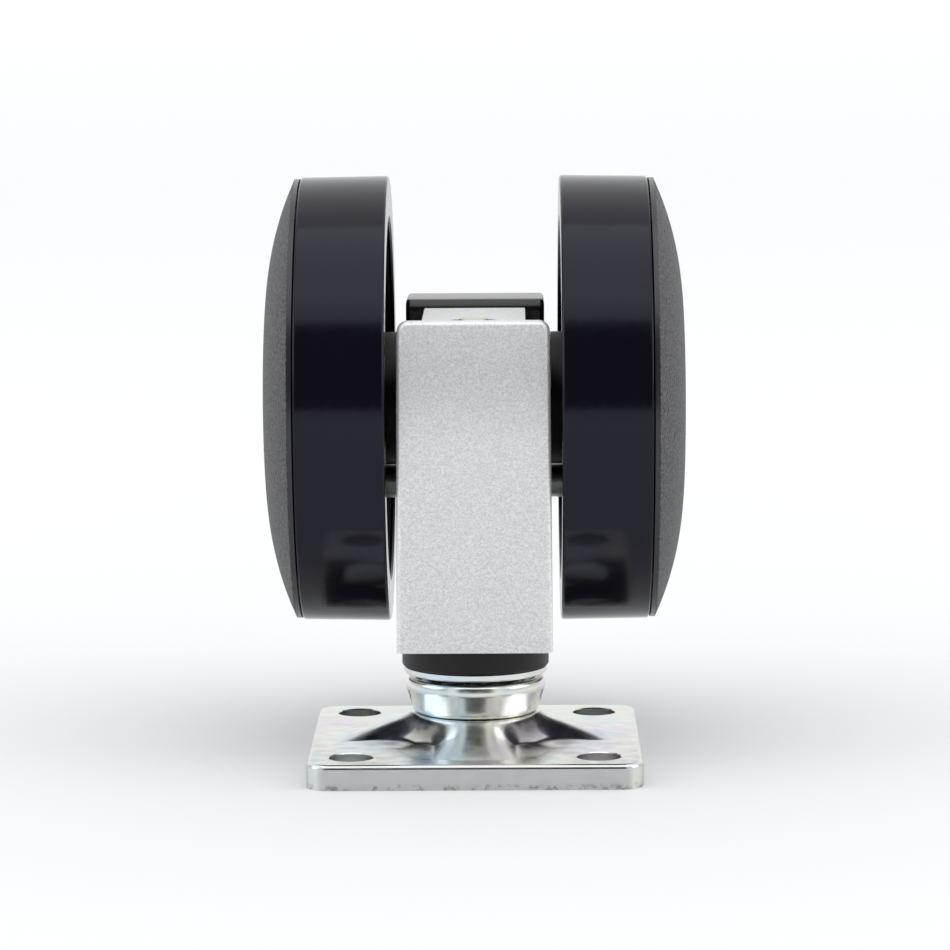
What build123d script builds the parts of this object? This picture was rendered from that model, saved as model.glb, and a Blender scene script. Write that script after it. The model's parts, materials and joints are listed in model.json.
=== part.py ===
from build123d import *
import os
from math import asin, cos, sqrt

# Twin-wheel furniture caster with a screw-on plate and a foot brake, in millimetres.
# It stands on its plate with the wheels up: +Z leads from the plate to the wheels, +X runs
# along the axle, and the origin is on the swivel axis at the plate's mounting face.

# ---- Mounting plate ----
plate_side = 36.0
plate_thickness = 2.7
plate_corner_radius = 2.5
plate_edge_radius = 0.5
screw_inset = 4.75  # from the plate's edge to the middle of each hole
screw_hole_radius = 2.4
boss_top = 5.4  # top of the raised centre, above the mounting face
boss_margin = 0.25  # the raised centre reaches this far past the cup
boss_foot = 1.6  # and this much further where it meets the plate
leg_foot_half_width = 4.7  # four pressed legs run from the centre towards the plate's edges
leg_draft = 38.0  # degrees that each leg's sides lean in
leg_end_inset = 3.2  # from the plate's edge to where a leg runs out
recess_radius = 5.3  # hollow under the raised centre, for the kingpin's formed tail
recess_depth = 2.9
recess_draft = 0.6

# ---- Swivel bearing, from the plate upwards ----
cup_flare = 1.05  # the cup widens by this much from its base to its rim
cup_height = 3.9
cup_wall = 1.1
cup_shoulder_radius = 0.95
cup_bend = 0.72  # of the cup's height, where its side turns upright
cup_foot_radius = 0.35
washer_gap = 0.5
washer_overhang = 0.15  # the washer stands this far past the cup's rim
washer_thickness = 0.8
seal_overhang = 0.2  # and the seal past the washer
seal_height = 2.47
washer_chamfer = 0.15
seal_edge_radius = 0.2
ball_count = 9
ball_side_gap = 0.46  # between the balls and the stem
ball_cup_gap = 0.16
ball_floor_reach = 0.63  # of a ball's radius, how far the cup's flat floor runs past the balls' middle
stem_radius = 2.8
stem_edge_radius = 0.9  # both ends of the kingpin are domed
stem_rise = 0.4  # its end stands this far above the housing's floor
stem_neck = 0.8  # its end is this much slimmer than the stem
stem_neck_length = 4.0
stem_collar_height = 0.7
tail_height = 1.7
tail_gap = 1.1
groove_depth = 0.55
ring_height = 1.0

# ---- Housing ----
housing_half_width = 8.45  # at the bottom; the sides draw in towards the top
housing_draft = 0.2
housing_height = 35.73
housing_front = -8.4
housing_bow_radius = 40.0  # the front face's upper part leans back on this arc
housing_bow_start = 36.0
housing_corner_radius = 1.2
housing_edge_radius = 0.6
lip_thickness = 1.7
column_back = 8.4
core_half_width = 5.65  # the narrow rear body that the brake lever straddles
floor_drop = 0.5  # the floor lies this far under the front lip
floor_end_gap = 2.4  # between the floor's rear end and the lever
core_floor = 2.4  # under the spring
lug_reach = 3.3  # behind the lever's pivot
lug_rise = 3.5  # above it
shoulder_drop = 3.3
bush_wall = 1.04
bush_flange = 1.7
bush_length = 10.0
bore_roof = 4.2  # between the floor and the wide part of the swivel bore
boss_wall = 2.0  # around the axle

# ---- Wheels and axle ----
axle_y = 15.2
axle_z = 38.3
axle_radius = 3.0
wheel_radius = 25.0
wheel_draft = 0.15
wheel_gap = 1.09  # between the housing's widest point and each wheel
tread_width = 9.86
tread_thickness = 3.2
rim_thickness = 1.8
dome_height = 3.9  # from the tread's outer plane
dome_drop = 3.24  # how far the dome falls from its flat middle to its edge
dome_flat = 0.4  # of the wheel's radius
dome_wall = 1.8
dome_edge_drop = 0.3
tread_edge_radius = 0.35
snap_wall = 0.9
axle_chamfer = 0.4
clip_width = 2.2
clip_thickness = 0.6
hub_wall = 3.0
hub_bush_wall = 1.39
web_thickness = 1.4
web_inset = 0.8  # from the tread's outer plane
hub_inset = 0.6  # from the web
rib_count = 12
rib_thickness = 1.5

# ---- Brake ----
brake_pin_radius = 1.9
brake_pin_back = 2.5  # the pin lies behind the axle and on the plate's side of it
brake_pin_gap = 0.67  # between the free pin and the wheel's hub
brake_travel = 2.2
brake_pin_reach = 4.46  # how far the pin reaches into each wheel
tooth_count = 12
tooth_ring_wall = 2.6
tooth_ring_start = 1.6  # from the wheel's inner plane
rib_start_inset = 3.0
pin_chamfer = 0.35
slider_half_width = 3.3
slider_walls = (1.2, 1.8, 1.7, 1.1)  # around the pin: front, back, top and base
lever_pivot_back = 13.3  # from the axle
lever_pivot_rise = 1.7
lever_pin_radius = 1.25
lever_hub_radius = 2.8
lever_arm_half = 2.4
lever_skin = 1.35
lever_edge_radius = 0.5
lever_back_reach = 9.1  # from the pivot
pedal_drop = 6.8
lever_wall = 2.0
lever_rise = 0.25  # the lever's top stands this far above the housing's lip
lever_cheek_height = 4.2
lever_front_back = 4.1  # from the axle to the lever's front edge
nose_back = 0.8  # from the brake pin to the middle of the lever's nose
nose_radius = 1.3
spring_radius = 2.0  # to the middle of the wire
spring_wire_radius = 0.28
spring_turns = 5
spring_length = 6.0
slider_edge_radius = 0.6

# ---- Clearances ----
running_gap = 0.06  # radial, on every pin and bush that turns
side_gap = 0.2  # between flat faces that move past each other
free_gap = 0.3  # between moving pieces that never touch
seat_gap = 0.1  # between pieces of one body that lie against each other

# ---- Places worked out from the sizes above ----
screw_spacing = plate_side - 2 * screw_inset
leg_end = plate_side / 2 - leg_end_inset
cup_top = boss_top + cup_height
washer_bottom = cup_top + washer_gap
washer_top = washer_bottom + washer_thickness
housing_bottom = washer_top + seal_height
housing_top = housing_bottom + housing_height
floor_z = housing_top - floor_drop
shoulder_z = housing_top - shoulder_drop
race_floor = boss_top + cup_wall
ball_radius = (washer_bottom - race_floor) / 2 - running_gap
ball_z = race_floor + running_gap + ball_radius
ball_ring_radius = stem_radius + ball_side_gap + ball_radius
cup_rim_radius = ball_ring_radius + ball_radius + ball_cup_gap + cup_wall
cup_base_radius = cup_rim_radius - cup_flare
boss_radius = cup_base_radius + boss_margin
washer_radius = cup_rim_radius + washer_overhang
seal_radius = washer_radius + seal_overhang
bush_radius = stem_radius + running_gap + bush_wall
bush_flange_radius = bush_radius + bush_flange
floor_hole_radius = stem_radius + seat_gap
ring_bottom = housing_bottom + bush_length + side_gap
bore_top = floor_z - bore_roof
wheel_inner = housing_half_width + wheel_gap
tread_outer = wheel_inner + tread_width
rim_radius = wheel_radius - tread_thickness
rim_bore = rim_radius - rim_thickness
web_outer = tread_outer - web_inset
web_inner = web_outer - web_thickness
hub_outer = web_outer - hub_inset
bush_outer = hub_outer - seat_gap
axle_half_length = tread_outer - seat_gap
hub_bore_radius = axle_radius + running_gap + hub_bush_wall
hub_radius = hub_bore_radius + hub_wall
side_of_housing = housing_half_width + running_gap
free_pin_radius = hub_radius + brake_pin_gap + brake_pin_radius
brake_pin_y = axle_y + brake_pin_back
brake_pin_z = axle_z - sqrt(free_pin_radius**2 - brake_pin_back**2)
slider_front = brake_pin_y - brake_pin_radius - slider_walls[0]
slider_back = brake_pin_y + brake_pin_radius + slider_walls[1]
slider_top = brake_pin_z + brake_pin_radius + slider_walls[2]
slider_bottom = brake_pin_z - brake_pin_radius - slider_walls[3]
spring_floor = slider_bottom - spring_length
lever_pivot_y = axle_y + lever_pivot_back
lever_pivot_z = axle_z + lever_pivot_rise
lever_half_width = core_half_width + side_gap + lever_wall
lever_top = housing_top + lever_rise
lever_front = axle_y + lever_front_back
floor_end = lever_front - floor_end_gap
nose_y = brake_pin_y + nose_back
nose_z = slider_top + free_gap + nose_radius

# ---- Shared shapes ----
ALONG_X = Axis((0, axle_y, axle_z), (1, 0, 0))


def side_plate(points, half_width, radii=()):
    """A plate with an outline in (y, z), centred on x = 0, its listed corners rounded."""
    outline = make_face(Polyline(*points, close=True))
    for corner, radius in radii:
        near = outline.vertices().sort_by_distance(Vector(*points[corner]))[0]
        outline = fillet([near], radius)
    return extrude(Plane.YZ * outline, amount=half_width, both=True)


def upright(radius, bottom, top):
    """A cylinder on the swivel axis between two heights."""
    return Pos(0, 0, (bottom + top) / 2) * Cylinder(radius, top - bottom)


def cross_rod(radius, half_length, y, z):
    """A cylinder along X, centred on x = 0."""
    return Pos(0, y, z) * Rot(0, 90, 0) * Cylinder(radius, 2 * half_length)


def cross_tube(outer, inner, start, end):
    """A tube around the axle between two distances from the middle."""
    ring = Circle(outer) - Circle(inner)
    face = Plane(origin=(start, axle_y, axle_z), z_dir=(1, 0, 0)) * ring
    return extrude(face, amount=end - start)


def turned(points, radii=()):
    """A solid turned about the swivel axis from an outline in (radius, height)."""
    outline = make_face(Polyline(*points, close=True))
    for corner, radius in radii:
        near = outline.vertices().sort_by_distance(Vector(*points[corner]))[0]
        outline = fillet([near], radius)
    return revolve(Plane.XZ * outline, axis=Axis.Z)


def wheel_turned(outline):
    """A solid turned about the axle from an outline in (distance from the middle, radius)."""
    radial = Plane(origin=(0, axle_y, axle_z), x_dir=(1, 0, 0), z_dir=(0, -1, 0))
    return revolve(radial * outline, axis=ALONG_X)


# ---- Mounting plate and swivel bearing ----
def raised_centre():
    """Cross-shaped rise pressed into the plate: a round centre and four legs that run out."""
    rise = boss_top - plate_thickness
    foot_radius = boss_radius + boss_foot
    centre = Cone(foot_radius, boss_radius, rise, align=(Align.CENTER, Align.CENTER, Align.MIN))
    roof = make_face(
        Polyline((-leg_end, 0), (-boss_radius, rise), (boss_radius, rise), (leg_end, 0), close=True)
    )
    ridge = extrude(Plane.XZ * roof, plate_side, both=True)
    bar = extrude(Rectangle(2 * leg_end, 2 * leg_foot_half_width), rise, taper=leg_draft)
    leg_pair = ridge & bar
    return Pos(0, 0, plate_thickness) * (centre + leg_pair + Rot(0, 0, 90) * leg_pair)


def mounting_plate():
    """Pressed square plate with eased edges, four screw holes and a raised centre."""
    plate = extrude(RectangleRounded(plate_side, plate_side, plate_corner_radius), plate_thickness)
    plate = fillet(plate.faces().sort_by(Axis.Z)[-1].edges(), plate_edge_radius)
    plate += raised_centre()
    roof_radius = recess_radius - recess_draft
    plate -= turned([(0, -1), (recess_radius, -1), (roof_radius, recess_depth), (0, recess_depth)])
    half = screw_spacing / 2
    for x in (-half, half):
        for y in (-half, half):
            plate -= Pos(x, y, plate_thickness / 2) * Cylinder(screw_hole_radius, 2 * plate_thickness)
    return plate - upright(stem_radius, 0, 2 * boss_top)


def bearing_cup():
    """Pressed cup on the plate's raised centre; it holds the ball set in its round floor."""
    wall_radius = cup_rim_radius - cup_wall
    bend = boss_top + cup_bend * cup_height
    floor_edge = ball_ring_radius + ball_floor_reach * ball_radius
    return turned(
        [
            (stem_radius, boss_top),
            (cup_base_radius, boss_top),
            (cup_rim_radius, bend),
            (cup_rim_radius, cup_top),
            (wall_radius, cup_top),
            (wall_radius, bend - side_gap),
            (floor_edge, race_floor),
            (stem_radius, race_floor),
        ],
        [(3, cup_shoulder_radius), (1, cup_foot_radius)],
    )


def kingpin():
    """Stem with a formed tail under the plate, a collar on the cup's floor and a domed end."""
    tail_radius = recess_radius - tail_gap
    collar_radius = ball_ring_radius - ball_radius - seat_gap
    neck_radius = stem_radius - stem_neck
    neck_z = floor_z - stem_neck_length
    dome_z = floor_z + stem_rise
    stem = turned(
        [
            (0, recess_depth - tail_height),
            (tail_radius, recess_depth - tail_height),
            (tail_radius, recess_depth),
            (stem_radius, recess_depth),
            (stem_radius, race_floor),
            (collar_radius, race_floor),
            (collar_radius, race_floor + stem_collar_height),
            (stem_radius, race_floor + stem_collar_height),
            (stem_radius, neck_z),
            (neck_radius, neck_z + stem_neck),
            (neck_radius, dome_z),
            (0, dome_z),
        ],
        [(1, stem_edge_radius), (10, stem_edge_radius)],
    )
    groove = upright(stem_radius + 1, ring_bottom, ring_bottom + ring_height)
    return stem - (groove - upright(stem_radius - groove_depth, 0, housing_top))


def stem_ring():
    """Open snap ring above the lower bush; it keeps the housing on the kingpin."""
    ring = upright(bush_radius - free_gap, ring_bottom, ring_bottom + ring_height)
    ring -= upright(stem_radius - groove_depth, 0, housing_top)
    slot = Pos(0, bush_radius, ring_bottom) * Box(1.6 * stem_radius, 2 * bush_radius, 4 * ring_height)
    return ring - slot


def swivel_balls():
    """Full ring of balls between the cup's floor and the race washer."""
    balls = []
    for index in range(ball_count):
        turn = Rot(0, 0, 360 * index / ball_count)
        balls.append(turn * Pos(ball_ring_radius, 0, ball_z) * Sphere(ball_radius))
    return Compound(children=balls)


def race_washer():
    """Hardened washer that the balls carry; it turns with the housing."""
    bore = stem_radius + free_gap
    washer = upright(washer_radius, washer_bottom, washer_top) - upright(bore, 0, housing_top)
    return chamfer(washer.edges().filter_by(GeomType.CIRCLE).sort_by(SortBy.RADIUS)[-2:], washer_chamfer)


def seal_ring():
    """Plastic ring that spaces the washer from the housing and keeps dirt out."""
    ring = upright(seal_radius, washer_top, housing_bottom)
    ring -= upright(bush_flange_radius, 0, housing_top)
    return fillet(ring.edges().filter_by(GeomType.CIRCLE).sort_by(SortBy.RADIUS)[-2:], seal_edge_radius)


def lower_bush():
    """Flanged swivel bush at the bottom of the housing's bore, its flange inside the seal."""
    bore = stem_radius + running_gap
    bush = upright(bush_flange_radius, washer_top, housing_bottom)
    bush += upright(bush_radius, washer_top, housing_bottom + bush_length)
    return bush - upright(bore, 0, housing_top)


def upper_bush():
    """Plain swivel bush at the top of the housing's bore."""
    bore = stem_radius + running_gap
    return upright(bush_radius, bore_top - bush_length, bore_top) - upright(bore, 0, housing_top)


# ---- Housing ----
def housing_shield():
    """Wide front column, seen between the wheels, with its top leaning back on an arc."""
    rise = housing_top - housing_bow_start
    lean = housing_bow_radius * (1 - cos(asin(rise / housing_bow_radius)))
    lip_front = housing_front + lean
    lip_back = lip_front + lip_thickness
    bow = RadiusArc((housing_front, housing_bow_start), (lip_front, housing_top), housing_bow_radius)
    rest = Polyline(
        (lip_front, housing_top),
        (lip_back, housing_top),
        (lip_back, shoulder_z),
        (column_back, shoulder_z),
        (column_back, housing_bottom),
        (housing_front, housing_bottom),
        (housing_front, housing_bow_start),
    )
    side = extrude(Plane.YZ * make_face(Curve() + [bow, rest]), 2 * housing_half_width, both=True)
    top_half = housing_half_width - housing_draft
    front = make_face(
        Polyline(
            (-housing_half_width, housing_bottom),
            (housing_half_width, housing_bottom),
            (top_half, housing_top),
            (-top_half, housing_top),
            close=True,
        )
    )
    front = fillet(front.vertices().sort_by(Axis.Y)[-2:], housing_corner_radius)
    column = side & extrude(Plane.XZ * front, 4 * column_back, both=True)
    front_edges = column.faces().sort_by(Axis.Y)[0].edges().filter_by(Axis.X, reverse=True)
    return fillet(front_edges, housing_edge_radius)


def housing_core():
    """Narrow rear body, with the floor on top and the lever's pivot lugs behind."""
    low = spring_floor - core_floor
    front = housing_front + 4.0
    lug_back = lever_pivot_y + lug_reach
    points = [
        (front, low - 1.2),
        (column_back, low - 1.2),
        (slider_front - 1.6, low),
        (slider_back + 2.4, low),
        (slider_back + 4.2, low + 2.5),
        (slider_back + 5.4, slider_top - 2.0),
        (lug_back, lever_pivot_z - 3.0),
        (lug_back, lever_pivot_z + 1.8),
        (lever_pivot_y, lever_pivot_z + lug_rise),
        (floor_end, axle_z + axle_radius + 2.7),
        (floor_end, floor_z),
        (front, floor_z),
    ]
    rounds = [(3, 2.0), (4, 2.5), (5, 4.0), (6, 2.5), (7, 2.0), (8, 2.0)]
    return side_plate(points, core_half_width, rounds)


def brake_pocket():
    """Room in the core for the slider, its spring and the lever's nose, open to the rear."""
    front = slider_front - side_gap
    back = slider_back + side_gap
    points = [
        (front, spring_floor),
        (back, spring_floor),
        (back, slider_top - 2.9),
        (lever_pivot_y - 1.5, lever_pivot_z - 5.0),
        (lever_pivot_y + 8, lever_pivot_z - 4.0),
        (lever_pivot_y + 8, housing_top + 5),
        (floor_end + 0.01, housing_top + 5),
        (floor_end + 0.01, axle_z + axle_radius + 2.0),
        (front, axle_z + axle_radius + 0.8),
    ]
    return side_plate(points, slider_half_width + side_gap)


def housing():
    """Die-cast body: column, core and axle bosses in one piece, with its bores and slots."""
    body = housing_shield() + housing_core()
    body += cross_rod(axle_radius + boss_wall, housing_half_width - seat_gap, axle_y, axle_z)
    body -= upright(bush_radius, housing_bottom - 1, bore_top)
    body -= upright(floor_hole_radius, housing_bottom, housing_top + 1)
    body -= brake_pocket()
    body -= cross_rod(axle_radius, 2 * housing_half_width, axle_y, axle_z)
    body -= cross_rod(lever_pin_radius, 2 * housing_half_width, lever_pivot_y, lever_pivot_z)
    slot_radius = brake_pin_radius + side_gap
    slot_z = brake_pin_z - brake_travel / 2
    slot = cross_rod(slot_radius, housing_half_width, brake_pin_y, brake_pin_z)
    slot += cross_rod(slot_radius, housing_half_width, brake_pin_y, brake_pin_z - brake_travel)
    slot += Pos(0, brake_pin_y, slot_z) * Box(2 * housing_half_width, 2 * slot_radius, brake_travel)
    return body - slot


# ---- Wheels; built on the right, and mirrored for the left ----
def axle():
    """Steel axle, pressed into the housing, with chamfered ends."""
    rod = cross_rod(axle_radius, axle_half_length, axle_y, axle_z)
    return chamfer(rod.edges().filter_by(GeomType.CIRCLE), axle_chamfer)


def hub_bush():
    """Wheel bush; its flange is the dark collar between the housing and the wheel."""
    bore = axle_radius + running_gap
    flange = cross_tube(hub_radius, bore, side_of_housing, wheel_inner + seat_gap)
    return flange + cross_tube(hub_bore_radius, bore, side_of_housing, bush_outer)


def wheel_centre():
    """Moulded centre: hub, web and rim, with ribs and a ring of brake teeth inside."""
    centre = cross_tube(hub_radius, hub_bore_radius, wheel_inner + seat_gap, hub_outer)
    centre += cross_tube(rim_radius, rim_bore, wheel_inner + 0.5, tread_outer - seat_gap)
    centre += cross_tube(rim_bore + 0.5, hub_bore_radius + 0.8, web_inner, web_outer)
    pin_z = brake_pin_z - brake_travel - axle_z
    locked_radius = sqrt(brake_pin_back**2 + pin_z**2)
    tip_radius = locked_radius + 0.1
    ring_radius = tip_radius + brake_pin_radius + tooth_ring_wall
    ring_start = wheel_inner + tooth_ring_start
    centre += cross_tube(ring_radius, tip_radius, ring_start, web_inner)
    rib_mid = (ring_radius + rim_bore) / 2
    rib_start = wheel_inner + rib_start_inset
    rib_length = web_inner + 0.2 - rib_start
    rib = Box(rib_length, rib_thickness, rim_bore - ring_radius + 0.8)
    notch = cross_rod(brake_pin_radius + free_gap, (web_inner - ring_start) / 2, 0, 0)
    valleys = []
    for index in range(tooth_count):
        turn = Rot(360 * index / tooth_count, 0, 0)
        middle = (ring_start + web_inner) / 2
        valleys.append(Pos(0, axle_y, axle_z) * turn * Pos(middle, brake_pin_back, pin_z) * notch)
    centre -= valleys
    for index in range(rib_count):
        turn = Rot(360 * (index + 0.5) / rib_count, 0, 0)
        centre += Pos(rib_start + rib_length / 2, axle_y, axle_z) * turn * Pos(0, 0, rib_mid) * rib
    return centre


def tread():
    """Smooth running ring moulded on the rim, with a slight draft and eased edges."""
    outline = make_face(
        Polyline(
            (wheel_inner, rim_radius),
            (wheel_inner, wheel_radius),
            (tread_outer, wheel_radius - wheel_draft),
            (tread_outer, rim_radius),
            close=True,
        )
    )
    outline = fillet(outline.vertices().sort_by(Axis.Y)[-2:], tread_edge_radius)
    lip = cross_tube(rim_radius + 0.1, rim_bore + 0.6, wheel_inner, wheel_inner + 0.5)
    return wheel_turned(outline) + lip


def wheel_cover():
    """Domed outer disc, flat in the middle, with a ring behind that snaps into the rim."""
    crown = tread_outer + dome_height
    flat_radius = dome_flat * wheel_radius
    edge_radius = wheel_radius - dome_edge_drop
    span = edge_radius - flat_radius
    bow_radius = (span**2 + dome_drop**2) / (2 * dome_drop)
    inner_radius = rim_radius - 0.7
    edge_x = crown - dome_drop
    inner_bow = bow_radius - dome_wall
    inner_x = crown - bow_radius + sqrt(inner_bow**2 - (inner_radius - flat_radius) ** 2)
    skin = crown - dome_wall
    seat = tread_outer + seat_gap
    outer = RadiusArc((crown, flat_radius), (edge_x, edge_radius), -bow_radius)
    inner = RadiusArc((inner_x, inner_radius), (skin, flat_radius), inner_bow)
    flat = Polyline((skin, flat_radius), (skin, 0), (crown, 0), (crown, flat_radius))
    edge = Polyline((edge_x, edge_radius), (seat, edge_radius), (seat, inner_radius), (inner_x, inner_radius))
    disc = wheel_turned(make_face(Curve() + [outer, edge, inner, flat]))
    snap = cross_tube(rim_bore, rim_bore - snap_wall, web_outer, seat + 1.0)
    return disc + snap


def axle_clip():
    """Push-on clip at the end of the axle, in the space behind the cover."""
    start = bush_outer + side_gap
    return cross_tube(axle_radius + clip_width, axle_radius, start, start + clip_thickness)


# ---- Brake ----
def brake_slider():
    """Block that slides in the housing's pocket and carries the brake pin."""
    length = slider_back - slider_front
    middle = (slider_back + slider_front) / 2
    height = slider_top - slider_bottom
    block = Pos(0, middle, slider_bottom + height / 2) * Box(2 * slider_half_width, length, height)
    block = fillet(block.edges().filter_by(Axis.X), slider_edge_radius)
    return block - cross_rod(brake_pin_radius, slider_half_width + 1, brake_pin_y, brake_pin_z)


def brake_pin():
    """Steel cross pin; both its ends reach into the wheels' brake teeth when locked."""
    pin = cross_rod(brake_pin_radius, wheel_inner + brake_pin_reach, brake_pin_y, brake_pin_z)
    return chamfer(pin.edges().filter_by(GeomType.CIRCLE), pin_chamfer)


def brake_spring():
    """Coil spring under the slider; it pushes the brake pin out of the teeth."""
    height = spring_length - 2 * spring_wire_radius
    path = Helix(height / spring_turns, height, spring_radius)
    wire = Plane(origin=path @ 0, z_dir=path % 0) * Circle(spring_wire_radius)
    coil = sweep(wire, path=path, is_frenet=True)
    return Pos(0, brake_pin_y, spring_floor + spring_wire_radius) * coil


def brake_lever():
    """Foot lever: a U-shaped cap over the housing's rear, with a nose that works the slider."""
    back = lever_pivot_y + lever_back_reach
    skin_top = lever_top - lever_skin
    outer = side_plate(
        [
            (lever_front, lever_top - lever_cheek_height),
            (lever_front, lever_top),
            (lever_pivot_y + 1.0, lever_top),
            (back - 2.0, lever_top - 3.3),
            (back, lever_pivot_z),
            (back + 1.0, lever_pivot_z - pedal_drop),
            (back - 0.4, lever_pivot_z - pedal_drop - 1.0),
            (back - 3.0, lever_pivot_z - 4.0),
            (lever_pivot_y - 3.0, lever_pivot_z - 4.0),
        ],
        lever_half_width,
        [(1, 1.3), (2, 5.0), (3, 5.0), (5, 0.5), (6, 0.5), (7, 2.0), (8, 2.0), (0, 0.8)],
    )
    inside = side_plate(
        [
            (lever_front - 2, lever_pivot_z - 9),
            (lever_front - 2, skin_top),
            (lever_pivot_y + 0.4, skin_top),
            (back - 3.6, lever_top - 4.4),
            (back - 2.0, lever_pivot_z - 0.4),
            (back - 1.2, lever_pivot_z - 9),
        ],
        core_half_width + side_gap,
        [(2, 3.6), (3, 3.4)],
    )
    lever = fillet(outer.edges().group_by(Axis.X)[-1] + outer.edges().group_by(Axis.X)[0], lever_edge_radius)
    lever -= inside
    lever += lever_web()
    return lever - cross_rod(lever_pin_radius + running_gap, 20, lever_pivot_y, lever_pivot_z)


def lever_web():
    """Middle web of the lever: a nose on the slider, a hub on the pivot, a rib to the back."""
    half_width = slider_half_width - 0.1
    run_y = lever_pivot_y - nose_y
    run_z = lever_pivot_z - nose_z
    length = sqrt(run_y**2 + run_z**2)
    along_y = run_y / length
    along_z = run_z / length
    arm = side_plate(
        [
            (nose_y - along_z * nose_radius, nose_z + along_y * nose_radius),
            (nose_y + along_z * nose_radius, nose_z - along_y * nose_radius),
            (lever_pivot_y + along_z * lever_arm_half, lever_pivot_z - along_y * lever_arm_half),
            (lever_pivot_y - along_z * lever_arm_half, lever_pivot_z + along_y * lever_arm_half),
        ],
        half_width,
    )
    arm += cross_rod(nose_radius, half_width, nose_y, nose_z)
    arm += cross_rod(lever_hub_radius, half_width, lever_pivot_y, lever_pivot_z)
    rib = side_plate(
        [
            (lever_pivot_y, lever_pivot_z - 2.2),
            (lever_pivot_y + 8.0, lever_pivot_z - 1.0),
            (lever_pivot_y + 7.2, lever_pivot_z + 5.0),
            (lever_pivot_y, lever_pivot_z + 2.6),
        ],
        half_width,
    )
    return arm + rib


def lever_pin():
    """Pivot pin of the brake lever, fixed in the housing's lugs."""
    return cross_rod(lever_pin_radius, lever_half_width - 0.25, lever_pivot_y, lever_pivot_z)


# ---- Write one file per piece ----
pieces = {
    "mounting_plate": mounting_plate(),
    "bearing_cup": bearing_cup(),
    "kingpin": kingpin(),
    "stem_ring": stem_ring(),
    "swivel_balls": swivel_balls(),
    "race_washer": race_washer(),
    "seal_ring": seal_ring(),
    "lower_bush": lower_bush(),
    "upper_bush": upper_bush(),
    "housing": housing(),
    "axle": axle(),
    "brake_slider": brake_slider(),
    "brake_pin": brake_pin(),
    "brake_spring": brake_spring(),
    "brake_lever": brake_lever(),
    "lever_pin": lever_pin(),
}
right_hand = {
    "hub_bush": hub_bush(),
    "wheel": wheel_centre(),
    "tread": tread(),
    "cover": wheel_cover(),
    "axle_clip": axle_clip(),
}
for name, piece in right_hand.items():
    pieces[name + "_right"] = piece
    pieces[name + "_left"] = mirror(piece, about=Plane.YZ)

os.makedirs("parts", exist_ok=True)
for name, piece in pieces.items():
    export_step(piece, f"parts/{name}.step")
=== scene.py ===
import json
from math import exp, pi, radians, sqrt

import bmesh
import bpy
from mathutils import Matrix, Vector


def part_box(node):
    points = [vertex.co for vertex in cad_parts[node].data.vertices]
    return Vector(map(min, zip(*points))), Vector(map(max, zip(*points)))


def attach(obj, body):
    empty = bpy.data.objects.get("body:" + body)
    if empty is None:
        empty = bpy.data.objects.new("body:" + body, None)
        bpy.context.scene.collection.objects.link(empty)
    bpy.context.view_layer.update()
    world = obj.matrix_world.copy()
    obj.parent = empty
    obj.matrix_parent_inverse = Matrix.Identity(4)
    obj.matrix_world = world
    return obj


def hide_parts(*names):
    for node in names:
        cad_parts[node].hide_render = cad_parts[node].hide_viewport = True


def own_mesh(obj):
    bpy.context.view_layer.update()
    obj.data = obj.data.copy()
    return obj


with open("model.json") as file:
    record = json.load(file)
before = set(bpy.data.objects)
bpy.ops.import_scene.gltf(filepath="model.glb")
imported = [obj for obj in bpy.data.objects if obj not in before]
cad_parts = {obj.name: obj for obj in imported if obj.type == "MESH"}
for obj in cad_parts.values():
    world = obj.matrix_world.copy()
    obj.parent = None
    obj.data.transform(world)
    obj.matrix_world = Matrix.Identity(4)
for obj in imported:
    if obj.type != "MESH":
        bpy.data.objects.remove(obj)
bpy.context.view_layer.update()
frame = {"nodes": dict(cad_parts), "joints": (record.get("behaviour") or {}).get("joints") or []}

# ---- Table top, studio light and camera ----
# The caster stands upside down on its plate on a pale table top. A wide soft light hangs over it,
# the room behind the viewer is dim, its side walls are grey, and the rest of it is white. The table
# top carries painted light: it glows faintly beside the caster and more strongly further away.
mm = 0.001
scene = bpy.context.scene
scene.view_settings.view_transform = "Standard"
table_size = 24.0
table_colour = "#E5E6E7"
table_spot_colour = "#E2E3E5"
table_spot_size = 1 / 3.0
room_colour = "#FCFDFD"
side_room_colour = "#CDCED1"
dim_room_colour = "#47484E"
over_light_size = 0.9
over_light_power = 1.9
over_light_place = Vector((0.02, -0.2, 0.8))
side_light_size = 0.4
side_light_power = 0.8
side_light_places = {"left": Vector((-0.6, -0.1, 0.3)), "right": Vector((0.6, -0.1, 0.3))}
lit_point = Vector((0.0, 0.01, 0.035))
# How the table top's painted glow rises with distance from the caster.
glow_most = 0.4
glow_start = 0.03
glow_reach = 0.45
dim_room_edge = (-0.82, -0.92)
dim_room_top = (0.86, 0.62)
side_walls_front = (-0.74, -0.64)
side_walls_back = (0.85, 0.5)
side_walls_top = (0.7, 0.5)
camera_place = Vector((4.0, -451.0, 88.0)) * mm
camera_pitch = 7.15
camera_turn = 0.5
camera_roll = 0.35
camera_lens = 157.6


def linear(hex_colour):
    """An sRGB hex colour as the linear RGBA that a shader takes."""
    values = [int(hex_colour[i : i + 2], 16) / 255 for i in (1, 3, 5)]
    return [v / 12.92 if v <= 0.04045 else ((v + 0.055) / 1.055) ** 2.4 for v in values] + [1.0]


def add_node(tree, kind, inputs=(), **settings):
    """Adds one node to a node tree, sets its properties, and fills or links its inputs."""
    made = tree.nodes.new(kind)
    for key, value in settings.items():
        setattr(made, key, value)
    for socket, value in dict(inputs).items():
        if isinstance(value, bpy.types.NodeSocket):
            tree.links.new(value, made.inputs[socket])
        else:
            made.inputs[socket].default_value = value
    return made


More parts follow.
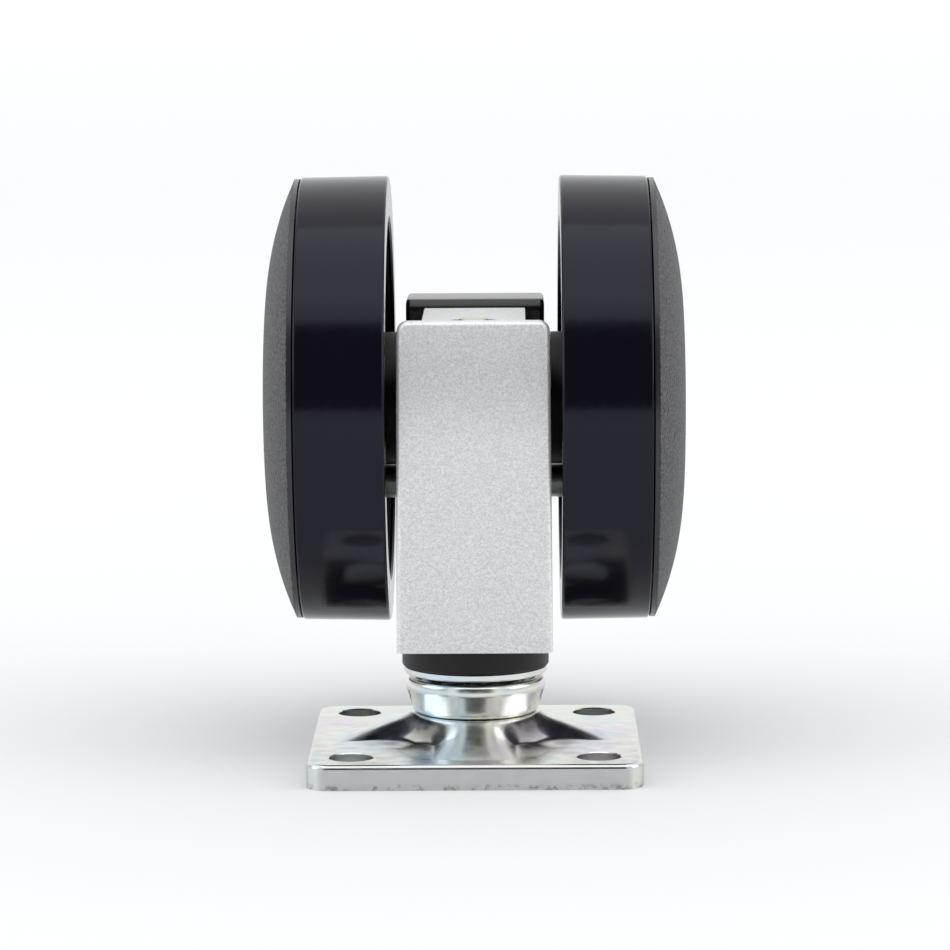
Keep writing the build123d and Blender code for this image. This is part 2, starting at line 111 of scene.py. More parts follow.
def new_material(name):
    """An empty material with its output and shader; the shader's own sockets are set by the caller."""
    material = bpy.data.materials.new(name)
    material.use_nodes = True
    tree = material.node_tree
    tree.nodes.clear()
    shader = add_node(tree, "ShaderNodeBsdfPrincipled")
    add_node(tree, "ShaderNodeOutputMaterial", {"Surface": shader.outputs["BSDF"]})
    return material, tree, shader


def new_piece(name, mesh_in_progress, material):
    """Turns a finished bmesh into an object at the origin with one material and smooth faces."""
    mesh = bpy.data.meshes.new(name)
    mesh_in_progress.to_mesh(mesh)
    mesh_in_progress.free()
    mesh.shade_smooth()
    piece = bpy.data.objects.new(name, mesh)
    scene.collection.objects.link(piece)
    piece.data.materials.append(material)
    return piece


table_paint, tree, shader = new_material("white_laminate_painted_glow")
spots = add_node(tree, "ShaderNodeTexNoise", {"Scale": 1 / table_spot_size, "Detail": 2.0})
shade = add_node(
    tree,
    "ShaderNodeMix",
    {"Factor": spots.outputs["Fac"], "A": linear(table_colour), "B": linear(table_spot_colour)},
    data_type="RGBA",
)
tree.links.new(shade.outputs["Result"], shader.inputs["Base Color"])
shader.inputs["Roughness"].default_value = 0.9
shader.inputs["Specular IOR Level"].default_value = 0.0
place = add_node(tree, "ShaderNodeTexCoord")
# Painted light: the table top glows weakly beside the caster and more strongly with distance from it.
away = add_node(tree, "ShaderNodeVectorMath", {0: place.outputs["Object"]}, operation="LENGTH")
risen = add_node(tree, "ShaderNodeMath", {0: away.outputs["Value"], 1: glow_start}, operation="ADD")
spread = add_node(tree, "ShaderNodeMath", {0: away.outputs["Value"], 1: glow_reach}, operation="ADD")
share = add_node(tree, "ShaderNodeMath", {0: risen.outputs[0], 1: spread.outputs[0]}, operation="DIVIDE")
glow = add_node(tree, "ShaderNodeMath", {0: share.outputs[0], 1: glow_most}, operation="MULTIPLY")
tree.links.new(glow.outputs["Value"], shader.inputs["Emission Strength"])
shader.inputs["Emission Color"].default_value = linear(room_colour)

table = bmesh.new()
bmesh.ops.create_grid(table, x_segments=1, y_segments=1, size=table_size / 2)
new_piece("table_top", table, table_paint)

world = bpy.data.worlds.new("studio_room")
scene.world = world
world.use_nodes = True
tree = world.node_tree
tree.nodes.clear()
direction = add_node(tree, "ShaderNodeTexCoord")
split = add_node(tree, "ShaderNodeSeparateXYZ", {"Vector": direction.outputs["Generated"]})
flattened = add_node(
    tree,
    "ShaderNodeVectorMath",
    {0: direction.outputs["Generated"], 1: (1.0, 1.0, 0.0)},
    operation="MULTIPLY",
)
compass = add_node(tree, "ShaderNodeVectorMath", {0: flattened.outputs[0]}, operation="NORMALIZE")
compass_split = add_node(tree, "ShaderNodeSeparateXYZ", {"Vector": compass.outputs[0]})
behind_viewer = add_node(
    tree,
    "ShaderNodeMapRange",
    {"Value": compass_split.outputs["Y"], "From Min": dim_room_edge[0], "From Max": dim_room_edge[1]},
    interpolation_type="SMOOTHSTEP",
)
under_ceiling = add_node(
    tree,
    "ShaderNodeMapRange",
    {"Value": split.outputs["Z"], "From Min": dim_room_top[0], "From Max": dim_room_top[1]},
    interpolation_type="SMOOTHSTEP",
)
dim = add_node(
    tree,
    "ShaderNodeMath",
    {0: behind_viewer.outputs["Result"], 1: under_ceiling.outputs["Result"]},
    operation="MULTIPLY",
)
beside_viewer = add_node(
    tree,
    "ShaderNodeMapRange",
    {"Value": compass_split.outputs["Y"], "From Min": side_walls_front[0], "From Max": side_walls_front[1]},
    interpolation_type="SMOOTHSTEP",
)
before_back_wall = add_node(
    tree,
    "ShaderNodeMapRange",
    {"Value": compass_split.outputs["Y"], "From Min": side_walls_back[0], "From Max": side_walls_back[1]},
    interpolation_type="SMOOTHSTEP",
)
beside = add_node(
    tree,
    "ShaderNodeMath",
    {0: beside_viewer.outputs["Result"], 1: before_back_wall.outputs["Result"]},
    operation="MULTIPLY",
)
under_lights = add_node(
    tree,
    "ShaderNodeMapRange",
    {"Value": split.outputs["Z"], "From Min": side_walls_top[0], "From Max": side_walls_top[1]},
    interpolation_type="SMOOTHSTEP",
)
greyed = add_node(
    tree,
    "ShaderNodeMath",
    {0: beside.outputs["Value"], 1: under_lights.outputs["Result"]},
    operation="MULTIPLY",
)
walls = add_node(
    tree,
    "ShaderNodeMix",
    {"Factor": greyed.outputs["Value"], "A": linear(room_colour), "B": linear(side_room_colour)},
    data_type="RGBA",
)
room = add_node(
    tree,
    "ShaderNodeMix",
    {"Factor": dim.outputs["Value"], "A": walls.outputs["Result"], "B": linear(dim_room_colour)},
    data_type="RGBA",
)
seen = add_node(tree, "ShaderNodeLightPath")
shown = add_node(
    tree,
    "ShaderNodeMix",
    {
        "Factor": seen.outputs["Is Camera Ray"],
        "A": room.outputs["Result"],
        "B": linear(room_colour),
    },
    data_type="RGBA",
)
background = add_node(tree, "ShaderNodeBackground", {"Color": shown.outputs["Result"]})
add_node(tree, "ShaderNodeOutputWorld", {"Surface": background.outputs["Background"]})


def soft_light(name, place, size, power):
    """A square area light that faces the caster's middle."""
    light = bpy.data.lights.new(name, "AREA")
    light.size = size
    light.energy = power
    lamp = bpy.data.objects.new(name, light)
    lamp.location = place
    lamp.rotation_euler = (lit_point - place).to_track_quat("-Z", "Y").to_euler()
    scene.collection.objects.link(lamp)


soft_light("light_over", over_light_place, over_light_size, over_light_power)
for side, place in side_light_places.items():
    soft_light("light_" + side, place, side_light_size, side_light_power)

camera = bpy.data.cameras.new("camera")
camera.lens = camera_lens
camera.clip_start = 0.01
viewer = bpy.data.objects.new("camera", camera)
aim = Matrix.Rotation(radians(camera_turn), 4, "Z")
aim = aim @ Matrix.Rotation(radians(90 - camera_pitch), 4, "X")
aim = aim @ Matrix.Rotation(radians(-camera_roll), 4, "Z")
viewer.matrix_world = Matrix.Translation(camera_place) @ aim
scene.collection.objects.link(viewer)
scene.camera = viewer

# ---- Mounting plate ----
# Square of 2.7 mm steel, blanked, pierced and pressed, then bright zinc plated. The press raises a
# round centre for the bearing cup and four legs that run out towards the plate's edges.
plate_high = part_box("mounting_plate")[1]
plate_half = plate_high.x
plate_thickness = 2.7 * mm
plate_corner = 2.5 * mm
plate_edge = 0.5 * mm
centre_rise = plate_high.z - plate_thickness
centre_radius = 6.9 * mm
centre_slope = 1.05
leg_half_width = 4.75 * mm
leg_start = 6.3 * mm
leg_end = 15.6 * mm
leg_sweep = 1.3
corner_soften = 1.3 * mm
rim_soften = 0.5 * mm
lip_height = 0.3 * mm
lip_width = 2.3 * mm
lip_place = 9.5 * mm
lip_length = 3.6 * mm
hidden_depth = 0.02 * mm  # the flat of the pressed shape lies just inside the slab
hole_radius = 2.4 * mm
hole_inset = 4.75 * mm
hole_edge = 0.1 * mm
recess_radius = 5.3 * mm
recess_draft = 0.6 * mm
recess_depth = 2.9 * mm


def smooth_lower(a, b, soften):
    """The lower of two heights, with the corner between them rounded off."""
    blend = max(soften - abs(a - b), 0.0) / soften
    return min(a, b) - blend * blend * soften / 4


def smooth_higher(a, b, soften):
    """The higher of two heights, with the corner between them filled in."""
    return -smooth_lower(-a, -b, soften)


def leg_height(along, across):
    """Height of one pair of pressed legs above the plate: an arch that falls away in a sweep."""
    run = min(max((abs(along) - leg_start) / (leg_end - leg_start), 0.0), 1.0)
    ridge = centre_rise * (1.0 - run) ** leg_sweep
    beside_leg = max(abs(across) - leg_half_width, 0.0)
    return ridge * (1.0 - (across / leg_half_width) ** 2) - beside_leg


def corner_lip(x, y):
    """Height of the soft swelling that the press leaves in the flat corners, beside the legs."""
    crease = max(min(abs(x), abs(y)) - leg_half_width, 0.0)
    along = sqrt(x * x + y * y) - lip_place
    return lip_height * exp(-((crease / lip_width) ** 2) - (along / lip_length) ** 2)


def pressed_height(x, y):
    """Height of the pressed shape above the plate; it is below zero where the plate stays flat."""
    cone = centre_slope * (centre_radius - sqrt(x * x + y * y)) + centre_rise
    height = smooth_higher(leg_height(x, y), leg_height(y, x), corner_soften)
    height = smooth_higher(smooth_lower(cone, centre_rise, rim_soften), height, corner_soften)
    return max(min(height, centre_rise), corner_lip(x, y))


def applied_boolean(piece, other, operation):
    """Applies one boolean between two objects and removes the second."""
    cut = piece.modifiers.new("cut", "BOOLEAN")
    cut.object = other
    cut.operation = operation
    cut.solver = "EXACT"
    evaluated = piece.evaluated_get(bpy.context.evaluated_depsgraph_get())
    piece.data = bpy.data.meshes.new_from_object(evaluated)
    piece.modifiers.clear()
    bpy.data.objects.remove(other)


doubles_gap = 0.001 * mm


def turned_piece(name, outline, material, axis="Z", centre=(0.0, 0.0, 0.0), steps=96, rounds=()):
    """Spins an outline of (distance along the axis, radius) points; rounds lists corners to round."""
    work = bmesh.new()
    corners = [work.verts.new((0.0, radius, along)) for along, radius in outline]
    for start, end in zip(corners, corners[1:] + corners[:1]):
        work.edges.new((start, end))
    for corner, radius in rounds:
        bmesh.ops.bevel(
            work,
            geom=[corners[corner]],
            offset=radius,
            segments=5,
            profile=0.5,
            affect="VERTICES",
            material=-1,
        )
    bmesh.ops.spin(
        work,
        geom=work.verts[:] + work.edges[:],
        cent=(0.0, 0.0, 0.0),
        axis=(0.0, 0.0, 1.0),
        angle=2 * pi,
        steps=steps,
        use_merge=True,
    )
    bmesh.ops.remove_doubles(work, verts=work.verts, dist=doubles_gap)
    bmesh.ops.recalc_face_normals(work, faces=work.faces)
    if axis == "X":
        bmesh.ops.rotate(work, verts=work.verts, matrix=Matrix.Rotation(pi / 2, 3, "Y"))
    bmesh.ops.translate(work, verts=work.verts, vec=Vector(centre))
    piece = new_piece(name, work, material)
    weigh = piece.modifiers.new("weigh_normals", "WEIGHTED_NORMAL")
    weigh.weight = 80
    return piece


# Bright zinc with a clear chromate film: a soft mirror with a faint blue, yellow and pink bloom. The
# sheared edges of the plate are duller, with small dark chips along the side that left the die last.
bloom_size = 9 * mm
smear_size = 1.6 * mm
rolled_size = 0.45 * mm
rolled_depth = 0.02 * mm
sheared_depth = (0.4 * mm, 0.1 * mm)
sheared_colour = "#C3C4C3"
chip_size = 0.7 * mm
chip_top = 0.75 * mm
chip_bottom = 0.35 * mm
chip_colour = "#6A6864"
bright_zinc, tree, shader = new_material("bright_zinc_plating")
place = add_node(tree, "ShaderNodeTexCoord")
bloom = add_node(
    tree,
    "ShaderNodeTexNoise",
    {"Vector": place.outputs["Object"], "Scale": 1 / bloom_size, "Detail": 2.0, "Roughness": 0.5},
)
film = add_node(tree, "ShaderNodeValToRGB", {"Fac": bloom.outputs["Fac"]})
film_colours = [
    (0.30, "#D0DBE6"),
    (0.42, "#DBE3E4"),
    (0.52, "#E5E5DB"),
    (0.64, "#DFD9E0"),
    (0.76, "#D0DAE5"),
]
film.color_ramp.elements[0].position = film_colours[0][0]
film.color_ramp.elements[0].color = linear(film_colours[0][1])
film.color_ramp.elements[1].position = film_colours[-1][0]
film.color_ramp.elements[1].color = linear(film_colours[-1][1])
for stop, colour in film_colours[1:-1]:
    film.color_ramp.elements.new(stop).color = linear(colour)
spot = add_node(tree, "ShaderNodeSeparateXYZ", {"Vector": place.outputs["Object"]})
spot_x = add_node(tree, "ShaderNodeMath", {0: spot.outputs["X"]}, operation="ABSOLUTE")
spot_y = add_node(tree, "ShaderNodeMath", {0: spot.outputs["Y"]}, operation="ABSOLUTE")
outermost = add_node(
    tree, "ShaderNodeMath", {0: spot_x.outputs["Value"], 1: spot_y.outputs["Value"]}, operation="MAXIMUM"
)
sheared = add_node(
    tree,
    "ShaderNodeMapRange",
    {
        "Value": outermost.outputs["Value"],
        "From Min": plate_half - sheared_depth[0],
        "From Max": plate_half - sheared_depth[1],
    },
)
edge_shade = add_node(
    tree,
    "ShaderNodeMix",
    {"Factor": sheared.outputs["Result"], "A": film.outputs["Color"], "B": linear(sheared_colour)},
    data_type="RGBA",
)
chips = add_node(
    tree,
    "ShaderNodeTexNoise",
    {"Vector": place.outputs["Object"], "Scale": 1 / chip_size, "Detail": 4.0, "Roughness": 0.7},
)
chipped = add_node(
    tree,
    "ShaderNodeMapRange",
    {"Value": chips.outputs["Fac"], "From Min": 0.5, "From Max": 0.62, "To Max": 0.6},
)
low_down = add_node(
    tree,
    "ShaderNodeMapRange",
    {"Value": spot.outputs["Z"], "From Min": chip_top, "From Max": chip_bottom},
)
burr = add_node(
    tree,
    "ShaderNodeMath",
    {0: chipped.outputs["Result"], 1: low_down.outputs["Result"]},
    operation="MULTIPLY",
)
zinc_shade = add_node(
    tree,
    "ShaderNodeMix",
    {"Factor": burr.outputs["Value"], "A": edge_shade.outputs["Result"], "B": linear(chip_colour)},
    data_type="RGBA",
)
tree.links.new(zinc_shade.outputs["Result"], shader.inputs["Base Color"])
shader.inputs["Metallic"].default_value = 1.0
smear = add_node(
    tree,
    "ShaderNodeTexNoise",
    {"Vector": place.outputs["Object"], "Scale": 1 / smear_size, "Detail": 5.0},
)
dulled = add_node(
    tree,
    "ShaderNodeMapRange",
    {"Value": smear.outputs["Fac"], "From Min": 0.3, "From Max": 0.7, "To Min": 0.15, "To Max": 0.27},
)
tree.links.new(dulled.outputs["Result"], shader.inputs["Roughness"])
rolled = add_node(
    tree,
    "ShaderNodeTexNoise",
    {"Vector": place.outputs["Object"], "Scale": 1 / rolled_size, "Detail": 4.0, "Roughness": 0.6},
)
rolled_bump = add_node(
    tree,
    "ShaderNodeBump",
    {"Height": rolled.outputs["Fac"], "Strength": 0.22, "Distance": rolled_depth},
)
tree.links.new(rolled_bump.outputs["Normal"], shader.inputs["Normal"])

slab = bmesh.new()
bmesh.ops.create_cube(slab, size=1.0)
bmesh.ops.scale(slab, verts=slab.verts, vec=(2 * plate_half, 2 * plate_half, plate_thickness))
bmesh.ops.translate(slab, verts=slab.verts, vec=(0.0, 0.0, plate_thickness / 2))
uprights = [e for e in slab.edges if abs(e.verts[0].co.z - e.verts[1].co.z) > plate_edge]
bmesh.ops.bevel(
    slab, geom=uprights, offset=plate_corner, segments=10, profile=0.5, affect="EDGES", material=-1
)
top_edges = [e for e in slab.edges if min(v.co.z for v in e.verts) > plate_thickness / 2]
bmesh.ops.bevel(
    slab, geom=top_edges, offset=plate_edge, segments=5, profile=0.5, affect="EDGES", material=-1
)
plate = new_piece("plate_pressed", slab, bright_zinc)

pressed = bmesh.new()
bmesh.ops.create_grid(pressed, x_segments=200, y_segments=200, size=plate_half - plate_corner / 2)
for point in pressed.verts:
    point.co.z = plate_thickness - hidden_depth + pressed_height(point.co.x, point.co.y)
skirt = bmesh.ops.extrude_edge_only(pressed, edges=[e for e in pressed.edges if e.is_boundary])
for item in skirt["geom"]:
    if isinstance(item, bmesh.types.BMVert):
        item.co.z = plate_thickness / 2
bmesh.ops.contextual_create(pressed, geom=[e for e in pressed.edges if e.is_boundary])
bmesh.ops.recalc_face_normals(pressed, faces=pressed.faces)
applied_boolean(plate, new_piece("pressed_shape", pressed, bright_zinc), "UNION")

hole_place = plate_half - hole_inset
hole_outline = [
    (-plate_thickness, 0.0),
    (-plate_thickness, hole_radius),
    (plate_thickness - hole_edge, hole_radius),
    (plate_thickness + hole_edge, hole_radius + 2 * hole_edge),
    (plate_thickness + hole_edge, 0.0),
]
for x in (-hole_place, hole_place):
    for y in (-hole_place, hole_place):
        punch = turned_piece("punch", hole_outline, bright_zinc, centre=(x, y, 0.0))
        punch.modifiers.clear()
        applied_boolean(plate, punch, "DIFFERENCE")
recess_outline = [
    (-plate_thickness, 0.0),
    (-plate_thickness, recess_radius),
    (recess_depth, recess_radius - recess_draft),
    (recess_depth, 0.0),
]
hollow = turned_piece("hollow", recess_outline, bright_zinc)
hollow.modifiers.clear()
applied_boolean(plate, hollow, "DIFFERENCE")
plate.data.shade_smooth()
plate.data.set_sharp_from_angle(angle=radians(35))
weigh = plate.modifiers.new("weigh_normals", "WEIGHTED_NORMAL")
weigh.keep_sharp = True
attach(plate, "plate")
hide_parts("mounting_plate")

# ---- Swivel bearing: cup and race washer ----
# The cup is drawn from steel strip: a flared side, a shoulder turned over at the top and a round
# track inside for the balls. The washer above it is blanked and tumbled. Both are zinc plated.
cup_low, cup_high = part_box("bearing_cup")
cup_radius = cup_high.x
cup_wall = 1.1 * mm
cup_foot_radius = cup_radius - 0.9 * mm
cup_bore = 2.8 * mm
cup_shoulder = cup_high.z - 1.05 * mm
cup_turned_in = 0.12 * mm
cup_track_top = cup_low.z + 2.6 * mm
cup_track_slope = 0.75 * mm
cup_rounds = [(1, 0.45 * mm), (2, 0.3 * mm), (3, 0.45 * mm), (4, 0.25 * mm), (6, 0.6 * mm)]
ball_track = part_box("swivel_balls")[0].z - 0.05 * mm
cup_outline = [
    (cup_low.z, cup_bore),
    (cup_low.z, cup_foot_radius),
    (cup_shoulder, cup_radius),
    (cup_high.z, cup_radius - cup_turned_in),
    (cup_high.z, cup_radius - cup_wall),
    (cup_track_top, cup_radius - cup_wall),
    (ball_track, cup_radius - cup_wall - cup_track_slope),
    (ball_track, cup_bore),
]
cup = turned_piece("cup_drawn", cup_outline, bright_zinc, rounds=cup_rounds)
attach(cup, "plate")
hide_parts("bearing_cup")


def finish_nodes(material, *names):
    """Gives CAD nodes their material."""
    for name in names:
        slots = frame["nodes"][name].data.materials
        slots.clear()
        slots.append(material)


finish_nodes(bright_zinc, "race_washer")

# ---- Turned steel pieces ----
# Balls, axle, clips, pins and snap ring: plain carbon steel, ground or turned, lightly oiled.
# Faint rings from turning show as lines across the length, drawn coarser than the tool's real feed.
lathe_pitch = 0.9 * mm
lathe_depth = 0.01 * mm
oil_size = 1.2 * mm
turned_steel, tree, shader = new_material("turned_carbon_steel")
place = add_node(tree, "ShaderNodeTexCoord")
lathe_lines = add_node(
    tree,
    "ShaderNodeTexWave",
    {
        "Vector": place.outputs["Object"],
        "Scale": 1 / lathe_pitch,
        "Distortion": 0.4,
        "Detail": 2.0,
        "Detail Scale": 2.0,
    },
    bands_direction="X",
)
oil = add_node(
    tree,
    "ShaderNodeTexNoise",
    {"Vector": place.outputs["Object"], "Scale": 1 / oil_size, "Detail": 4.0},
)
steel_shade = add_node(
    tree,
    "ShaderNodeMix",
    {"Factor": oil.outputs["Fac"], "A": linear("#A9AAAC"), "B": linear("#C2C1BD")},
    data_type="RGBA",
)
tree.links.new(steel_shade.outputs["Result"], shader.inputs["Base Color"])
steel_rough = add_node(
    tree, "ShaderNodeMapRange", {"Value": oil.outputs["Fac"], "To Min": 0.24, "To Max": 0.42}
)
tree.links.new(steel_rough.outputs["Result"], shader.inputs["Roughness"])
line_bump = add_node(
    tree,
    "ShaderNodeBump",
    {"Height": lathe_lines.outputs["Fac"], "Strength": 0.25, "Distance": lathe_depth},
)
tree.links.new(line_bump.outputs["Normal"], shader.inputs["Normal"])
shader.inputs["Metallic"].default_value = 1.0
finish_nodes(turned_steel, "swivel_balls", "stem_ring", "axle", "brake_pin", "lever_pin")
finish_nodes(turned_steel, "axle_clip_left", "axle_clip_right")

# ---- Brake spring ----
# Coil of spring steel wire that pushes the slider back up. Its lower end stands on the housing, and
# it shortens by the slider's travel when the brake is pressed.
spring_low, spring_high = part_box("brake_spring")
wire_radius = 0.28 * mm
spring_turns = 5
turn_steps = 28
spring_clearance = 0.005 * mm
spring_middle = (spring_low + spring_high) / 2
coil_radius = (spring_high.y - spring_low.y) / 2 - wire_radius
coil_rise = spring_high.z - spring_low.z - 2 * (wire_radius + spring_clearance)
coil_axis = Vector((spring_middle.x, spring_middle.y, 0.0))
coil_foot = coil_axis + Vector((coil_radius, 0.0, spring_low.z + wire_radius + spring_clearance))
wire = bmesh.new()
bmesh.ops.create_circle(
    wire,
    cap_ends=True,
    segments=14,
    radius=wire_radius - spring_clearance,
    matrix=Matrix.Translation(coil_foot) @ Matrix.Rotation(pi / 2, 4, "X"),
)
bmesh.ops.spin(
    wire,
    geom=wire.verts[:] + wire.edges[:] + wire.faces[:],
    cent=coil_axis,
    axis=(0.0, 0.0, 1.0),
    dvec=(0.0, 0.0, coil_rise / (spring_turns * turn_steps)),
    angle=2 * pi * spring_turns,
    steps=spring_turns * turn_steps,
)
bmesh.ops.recalc_face_normals(wire, faces=wire.faces)
spring = new_piece("spring_wound", wire, turned_steel)
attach(spring, "fork")
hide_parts("brake_spring")
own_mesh(spring)

# ---- Kingpin ----
# Turned steel stem, its domed end formed by peening, zinc plated with a yellow-green passivation.
def mottled_finish(name, tones, grain_size, detail, bump_strength, bump_depth):
    """A material with one fine pattern, which sets its two close tones and its slight bumps."""
    material, tree, shader = new_material(name)
    place = add_node(tree, "ShaderNodeTexCoord")
    grain = add_node(
        tree,
        "ShaderNodeTexNoise",
        {"Vector": place.outputs["Object"], "Scale": 1 / grain_size, "Detail": detail},
    )
    tone = add_node(
        tree,
        "ShaderNodeMix",
        {"Factor": grain.outputs["Fac"], "A": linear(tones[0]), "B": linear(tones[1])},
        data_type="RGBA",
    )
    tree.links.new(tone.outputs["Result"], shader.inputs["Base Color"])
    bump = add_node(
        tree,
        "ShaderNodeBump",
        {"Height": grain.outputs["Fac"], "Strength": bump_strength, "Distance": bump_depth},
    )
    tree.links.new(bump.outputs["Normal"], shader.inputs["Normal"])
    return material, shader


stem_tones = ("#B9CFC8", "#DCD9B4")
stain_size = 1.1 * mm
stain_depth = 0.05 * mm
passivated_zinc, shader = mottled_finish(
    "passivated_zinc_stem", stem_tones, stain_size, detail=3.0, bump_strength=0.3, bump_depth=stain_depth
)
shader.inputs["Metallic"].default_value = 1.0
shader.inputs["Roughness"].default_value = 0.3
finish_nodes(passivated_zinc, "kingpin")

# ---- Housing ----
# One zinc die casting, tumbled and sprayed with silver metallic paint; the paint is satin, with very
# fine flakes and a slight orange peel. The flakes are drawn coarser than their real 0.04 mm, so that
# they show.
flake_size = 0.12 * mm
peel_size = 0.7 * mm
peel_depth = 0.03 * mm
silver_paint, tree, shader = new_material("silver_metallic_paint")
place = add_node(tree, "ShaderNodeTexCoord")
flakes = add_node(
    tree,
    "ShaderNodeTexVoronoi",
    {"Vector": place.outputs["Object"], "Scale": 1 / flake_size},
)
flake_tone = add_node(tree, "ShaderNodeSeparateColor", {"Color": flakes.outputs["Color"]})
flake_shade = add_node(
    tree,
    "ShaderNodeMix",
    {"Factor": flake_tone.outputs["Red"], "A": linear("#F8F8F8"), "B": linear("#D6D6D9")},
    data_type="RGBA",
)
tree.links.new(flake_shade.outputs["Result"], shader.inputs["Base Color"])
peel = add_node(
    tree,
    "ShaderNodeTexNoise",
    {"Vector": place.outputs["Object"], "Scale": 1 / peel_size, "Detail": 3.0},
)
peel_bump = add_node(
    tree, "ShaderNodeBump", {"Height": peel.outputs["Fac"], "Strength": 0.25, "Distance": peel_depth}
)
tree.links.new(peel_bump.outputs["Normal"], shader.inputs["Normal"])
shader.inputs["Metallic"].default_value = 0.5
shader.inputs["Roughness"].default_value = 0.42
finish_nodes(silver_paint, "housing")

# ---- Bushes and slider ----
# Natural acetal, moulded: off-white, slightly waxy, with a satin face.
acetal_tones = ("#E4E1D4", "#D9D5C6")
flow_size = 3 * mm
flow_depth = 0.03 * mm
acetal, shader = mottled_finish(
    "natural_acetal", acetal_tones, flow_size, detail=2.0, bump_strength=0.2, bump_depth=flow_depth
)
shader.inputs["Roughness"].default_value = 0.4
finish_nodes(acetal, "lower_bush", "upper_bush", "brake_slider")

# ---- Black moulded pieces: seal ring, hub bushes and wheel centres ----
# Black nylon from a bead-blasted mould: a satin skin with faint flow marks. The blasted texture is
# drawn about twice as coarse as it is, so that it shows.
nylon_tones = ("#0D0C0F", "#141316")
blast_size = 0.25 * mm
blast_depth = 0.02 * mm
black_nylon, shader = mottled_finish(
    "black_nylon_moulding", nylon_tones, blast_size, detail=4.0, bump_strength=0.3, bump_depth=blast_depth
)
shader.inputs["Roughness"].default_value = 0.45
shader.inputs["IOR"].default_value = 1.4
finish_nodes(black_nylon, "seal_ring", "hub_bush_left", "hub_bush_right", "wheel_left", "wheel_right")

# ---- Treads ----
# Smooth running rings of hard black nylon, moulded on the wheel centres in a polished mould, so
# they have a deep gloss with a barely wavy skin.
tread_inner_radius = 21.8 * mm
tread_draft = 0.15 * mm
tread_corner = 0.35 * mm
tread_lip_depth = 1.2 * mm
tread_lip_width = 0.5 * mm
tread_clearance = 0.005 * mm
axle_joint = next(j for j in frame["joints"] if j["name"] == "left_wheel_spin")
axle_place = Vector(axle_joint["pos_m"])
wave_size = 4 * mm
wave_depth = 0.05 * mm
rubbed_size = 0.8 * mm
gloss_nylon, tree, shader = new_material("polished_black_nylon")
place = add_node(tree, "ShaderNodeTexCoord")
wave = add_node(
    tree,
    "ShaderNodeTexNoise",
    {"Vector": place.outputs["Object"], "Scale": 1 / wave_size, "Detail": 2.0},
)
rubbed = add_node(
    tree,
    "ShaderNodeTexNoise",
    {"Vector": place.outputs["Object"], "Scale": 1 / rubbed_size, "Detail": 5.0},
)
gloss = add_node(
    tree,
    "ShaderNodeMapRange",
    {"Value": rubbed.outputs["Fac"], "From Min": 0.3, "From Max": 0.7, "To Min": 0.1, "To Max": 0.17},
)
tree.links.new(gloss.outputs["Result"], shader.inputs["Roughness"])
gloss_shade = add_node(
    tree,
    "ShaderNodeMix",
    {"Factor": wave.outputs["Fac"], "A": linear("#0B0A12"), "B": linear("#0F0E18")},
    data_type="RGBA",
)
tree.links.new(gloss_shade.outputs["Result"], shader.inputs["Base Color"])
wave_bump = add_node(
    tree, "ShaderNodeBump", {"Height": wave.outputs["Fac"], "Strength": 0.15, "Distance": wave_depth}
)
tree.links.new(wave_bump.outputs["Normal"], shader.inputs["Normal"])
shader.inputs["IOR"].default_value = 1.36
shader.inputs["Specular Tint"].default_value = linear("#E4E4FF")
wheel_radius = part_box("tread_right")[1].z - axle_place.z + tread_clearance
tread_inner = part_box("tread_right")[0].x
tread_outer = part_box("tread_right")[1].x
for side, sign in (("left", -1), ("right", 1)):
    tread_outline = [
        (sign * tread_inner, tread_inner_radius - tread_lip_depth),
        (sign * tread_inner, wheel_radius),
        (sign * tread_outer, wheel_radius - tread_draft),
        (sign * tread_outer, tread_inner_radius),
        (sign * (tread_inner + tread_lip_width), tread_inner_radius),
        (sign * (tread_inner + tread_lip_width), tread_inner_radius - tread_lip_depth),
    ]
    tread = turned_piece(
        "tread_ring_" + side,
        tread_outline,
        gloss_nylon,
        axis="X",
        centre=(0.0, axle_place.y, axle_place.z),
        steps=192,
        rounds=[(1, tread_corner), (2, tread_corner)],
    )
    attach(tread, side + "_wheel")
    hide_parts("tread_" + side)

# ---- Wheel covers ----
# Domed discs of black nylon that snap into the rims. The dome has a spark-eroded grain, and the
# narrow band around its edge is smooth. The grain is drawn a little coarser than the real 0.15 mm,
# with painted shade in its pits and a painted highlight on its peaks.
spark_size = 0.3 * mm
pit_size = 0.25 * mm
pit_height = 0.12 * mm
band_end = 20.02 * mm
band_blend = 0.05 * mm
grained_nylon, tree, shader = new_material("grained_black_nylon")
place = add_node(tree, "ShaderNodeTexCoord")
grain = add_node(
    tree,
    "ShaderNodeTexVoronoi",
    {"Vector": place.outputs["Object"], "Scale": 1 / spark_size},
    feature="SMOOTH_F1",
)
fine_grain = add_node(
    tree,
    "ShaderNodeTexNoise",
    {"Vector": place.outputs["Object"], "Scale": 1 / pit_size, "Detail": 2.0},
)
both_grains = add_node(
    tree,
    "ShaderNodeMath",
    {0: grain.outputs["Distance"], 1: fine_grain.outputs["Fac"]},
    operation="ADD",
)
split = add_node(tree, "ShaderNodeSeparateXYZ", {"Vector": place.outputs["Object"]})
outwards = add_node(tree, "ShaderNodeMath", {0: split.outputs["X"]}, operation="ABSOLUTE")
grained = add_node(
    tree,
    "ShaderNodeMapRange",
    {"Value": outwards.outputs["Value"], "From Min": band_end - band_blend, "From Max": band_end},
)
# Painted shade and highlight: the grain's pits are coloured near black and its peaks light grey, following
# the noise that also raises the bumps.
painted_pit_light_mask = add_node(
    tree,
    "ShaderNodeMapRange",
    {"Value": fine_grain.outputs["Fac"], "From Min": 0.35, "From Max": 0.65},
)
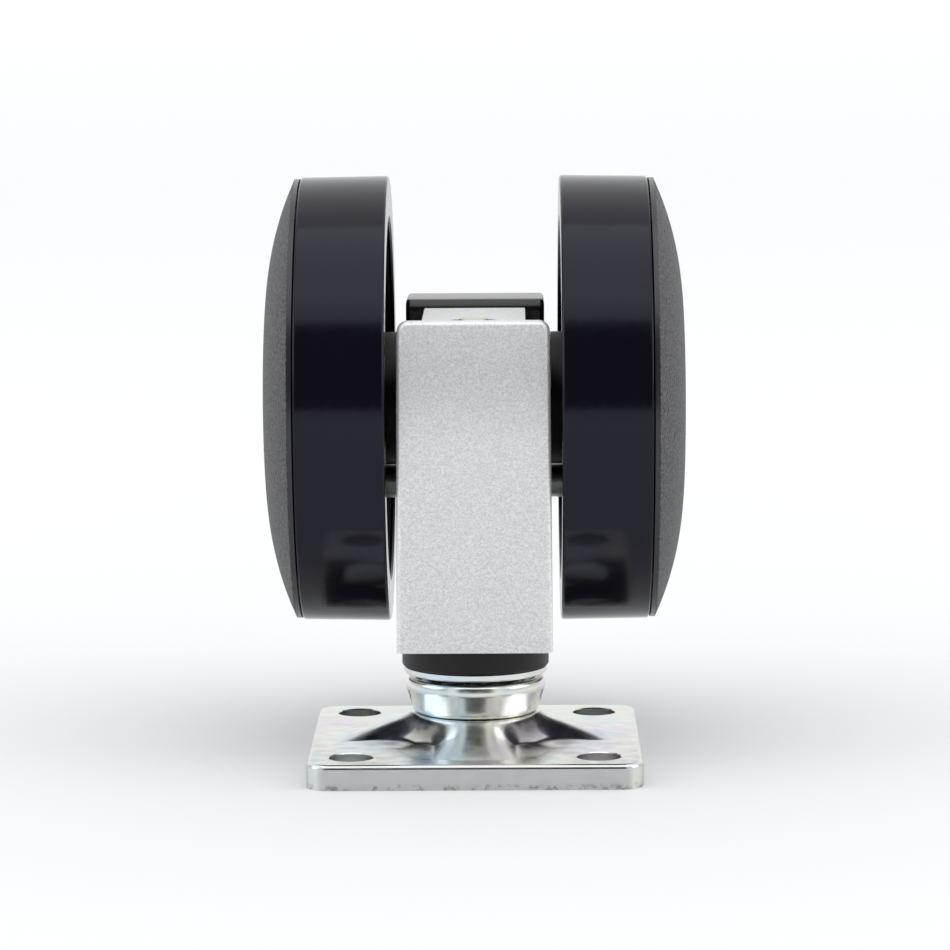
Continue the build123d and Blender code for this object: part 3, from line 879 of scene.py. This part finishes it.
painted_pit_shade_and_peak_light = add_node(
    tree,
    "ShaderNodeMix",
    {"Factor": painted_pit_light_mask.outputs["Result"], "A": linear("#070709"), "B": linear("#57575B")},
    data_type="RGBA",
)
cover_colour_with_painted_grain_light = add_node(
    tree,
    "ShaderNodeMix",
    {"Factor": grained.outputs["Result"], "A": linear("#29292C"), "B": painted_pit_shade_and_peak_light.outputs["Result"]},
    data_type="RGBA",
)
tree.links.new(cover_colour_with_painted_grain_light.outputs["Result"], shader.inputs["Base Color"])
grain_rough = add_node(
    tree, "ShaderNodeMapRange", {"Value": grained.outputs["Result"], "To Min": 0.25, "To Max": 0.55}
)
tree.links.new(grain_rough.outputs["Result"], shader.inputs["Roughness"])
grain_bump = add_node(
    tree,
    "ShaderNodeBump",
    {"Height": both_grains.outputs["Value"], "Strength": grained.outputs["Result"], "Distance": pit_height},
)
tree.links.new(grain_bump.outputs["Normal"], shader.inputs["Normal"])
finish_nodes(grained_nylon, "cover_left", "cover_right")

# ---- Brake lever ----
# Black moulded nylon, a U-shaped cap over the housing's rear. Its skin is semi-gloss with faint rub
# marks from shoes, and its outer edges are rounded so that they don't mark the shoe.
lever_tones = ("#1A191C", "#222124")
rub_size = 0.4 * mm
rub_depth = 0.02 * mm
lever_nylon, shader = mottled_finish(
    "semi_gloss_black_nylon", lever_tones, rub_size, detail=4.0, bump_strength=0.25, bump_depth=rub_depth
)
shader.inputs["Roughness"].default_value = 0.2
lever_edge = 0.75 * mm
shape = bmesh.new()
shape.from_mesh(frame["nodes"]["brake_lever"].data)
bmesh.ops.remove_doubles(shape, verts=shape.verts, dist=2 * doubles_gap)
bmesh.ops.dissolve_limit(
    shape, angle_limit=radians(1.0), verts=shape.verts, edges=shape.edges, use_dissolve_boundaries=False
)
lever = new_piece("lever_moulded", shape, lever_nylon)
rounding = lever.modifiers.new("round_edges", "BEVEL")
rounding.width = lever_edge
rounding.segments = 4
rounding.limit_method = "ANGLE"
rounding.angle_limit = radians(40)
rounding.harden_normals = True
rounding.use_clamp_overlap = True
lever.data.set_sharp_from_angle(angle=radians(40))
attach(lever, "lever")
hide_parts("brake_lever")
